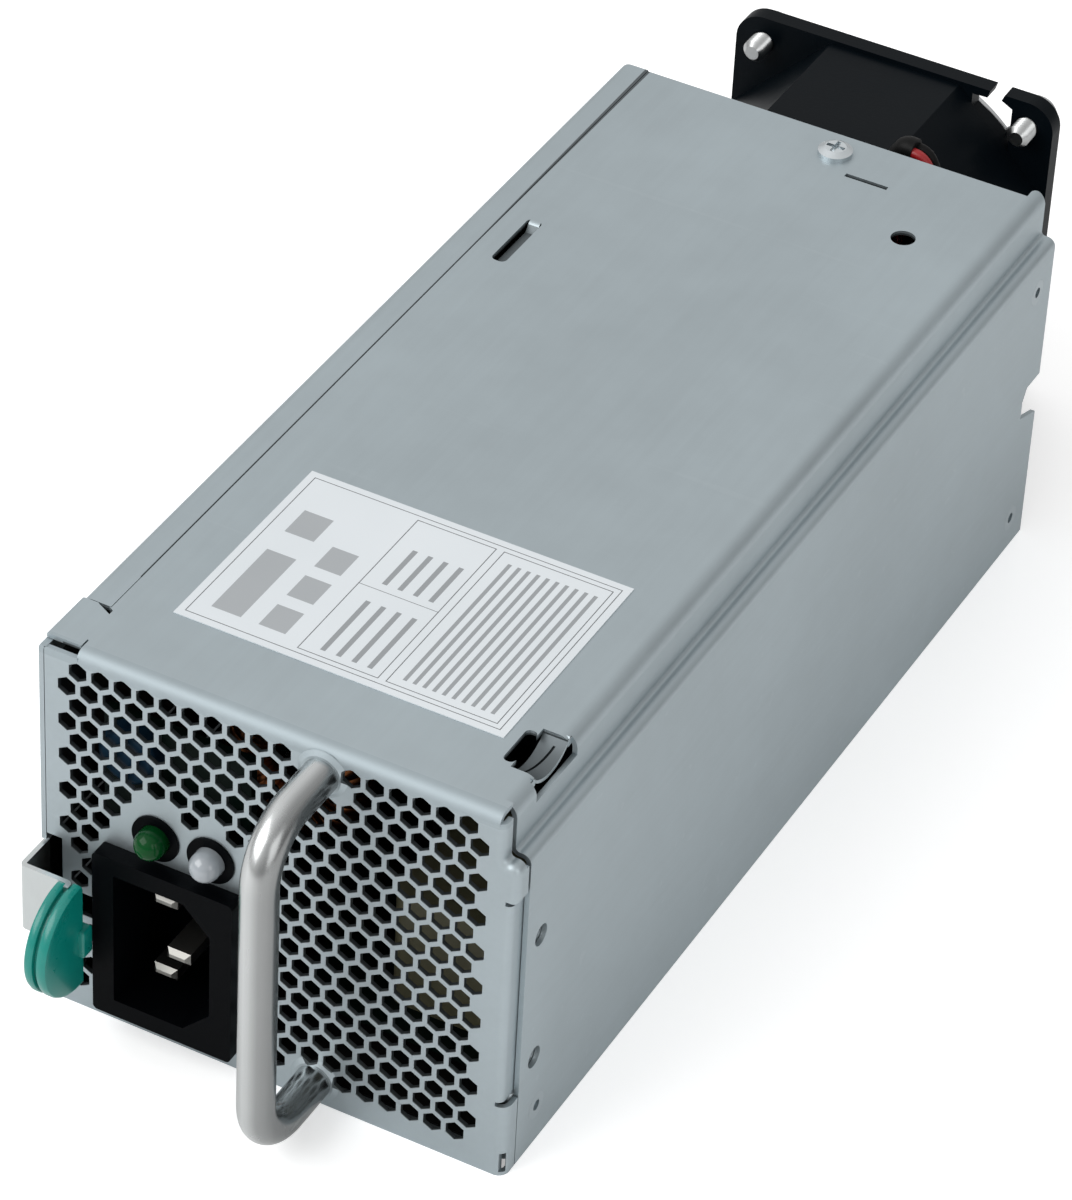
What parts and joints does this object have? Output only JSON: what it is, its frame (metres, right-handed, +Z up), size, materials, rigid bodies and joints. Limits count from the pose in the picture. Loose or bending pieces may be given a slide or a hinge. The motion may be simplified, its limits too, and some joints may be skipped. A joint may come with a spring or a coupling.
{
  "type": "hot swap server power supply",
  "caption": "Long sheet-metal power supply with perforated front, bar handle, mains inlet, status lamps, sprung bay latch with thumb tab, and a fan carried on the rear wall.",
  "frame": {"origin": "centre of the case's underside", "axes": "+X right and +Y to the back, seen from the perforated front; +Z up"},
  "size_m": [0.0814, 0.2425, 0.0697],
  "materials": {
    "zinc_steel": "zinc-plated sheet, satin",
    "handle_metal": "nickel-plated bar, satin",
    "spring_steel": "bright spring strip",
    "screw_steel": "zinc-plated screw",
    "black_plastic": "moulded black nylon",
    "fan_plastic": "glass-filled black plastic",
    "contact_metal": "tinned brass",
    "lamp_green": "tinted clear epoxy",
    "lamp_clear": "water-clear epoxy",
    "teal_plastic": "moulded teal nylon",
    "label_film": "blank silver-grey film label",
    "circuit_board": "solder-masked glass epoxy",
    "film_clear": "translucent insulating film",
    "blue_case": "dipped blue epoxy",
    "yellow_tape": "yellow polyester tape",
    "capacitor_sleeve": "shrunk black sleeve",
    "copper_winding": "enamelled copper",
    "ferrite": "sintered ferrite",
    "heatsink_metal": "extruded, as drawn",
    "package_black": "moulded epoxy package",
    "lead_red": "insulated wire",
    "lead_black": "insulated wire",
    "guard_wire": "plated wire",
    "fuse_glass": "ceramic tube with plated caps"
  },
  "bodies": {
    "case": {"chassis_base": "zinc_steel", "top_cover": "zinc_steel", "carry_handle": "handle_metal", "handle_screws": "screw_steel", "inlet_housing": "black_plastic", "inlet_pins": "contact_metal", "lamp_holders": "black_plastic", "lamp_green": "lamp_green", "lamp_clear": "lamp_clear", "lamp_board": "circuit_board", "latch_foot": "spring_steel", "latch_rivets": "screw_steel", "fan_frame": "fan_plastic", "fan_stator": "copper_winding", "fan_screws": "screw_steel", "fan_mount_screws": "screw_steel", "fan_guard": "guard_wire", "fan_lead_red": "lead_red", "fan_lead_black": "lead_black", "lead_sleeve": "lead_black", "main_board": "circuit_board", "standoffs": "screw_steel", "board_screws": "screw_steel", "insulating_film": "film_clear", "mains_choke": "copper_winding", "suppression_capacitor": "blue_case", "filter_capacitor": "yellow_tape", "mains_fuse": "fuse_glass", "bridge_rectifier": "package_black", "bulk_capacitors": "capacitor_sleeve", "primary_heatsink": "heatsink_metal", "primary_switches": "package_black", "transformer_core": "ferrite", "transformer_winding": "yellow_tape", "secondary_heatsink": "heatsink_metal", "secondary_switches": "package_black", "output_choke": "copper_winding", "output_capacitors": "capacitor_sleeve", "control_board": "circuit_board", "output_connector": "black_plastic", "output_contacts": "contact_metal", "inlet_leads": "lead_black", "cover_screw": "screw_steel", "side_screws": "screw_steel", "label": "label_film"},
    "rotor": {"fan_rotor": "fan_plastic", "fan_shaft": "screw_steel"},
    "latch": {"latch_arm": "spring_steel", "latch_tab": "teal_plastic"}
  },
  "joints": [
    {"name": "fan_spin", "type": "hinge", "parent": "case", "child": "rotor", "pos_m": [-0.005, 0.10325, 0.0317], "axis": [0, 1, 0], "continuous": true},
    {"name": "latch_flex", "type": "hinge", "parent": "case", "child": "latch", "pos_m": [-0.03888, -0.02775, 0.0237], "axis": [0, 0, 1], "range_deg": [0, 2], "stiffness_Nm_per_rad": 6}
  ]
}
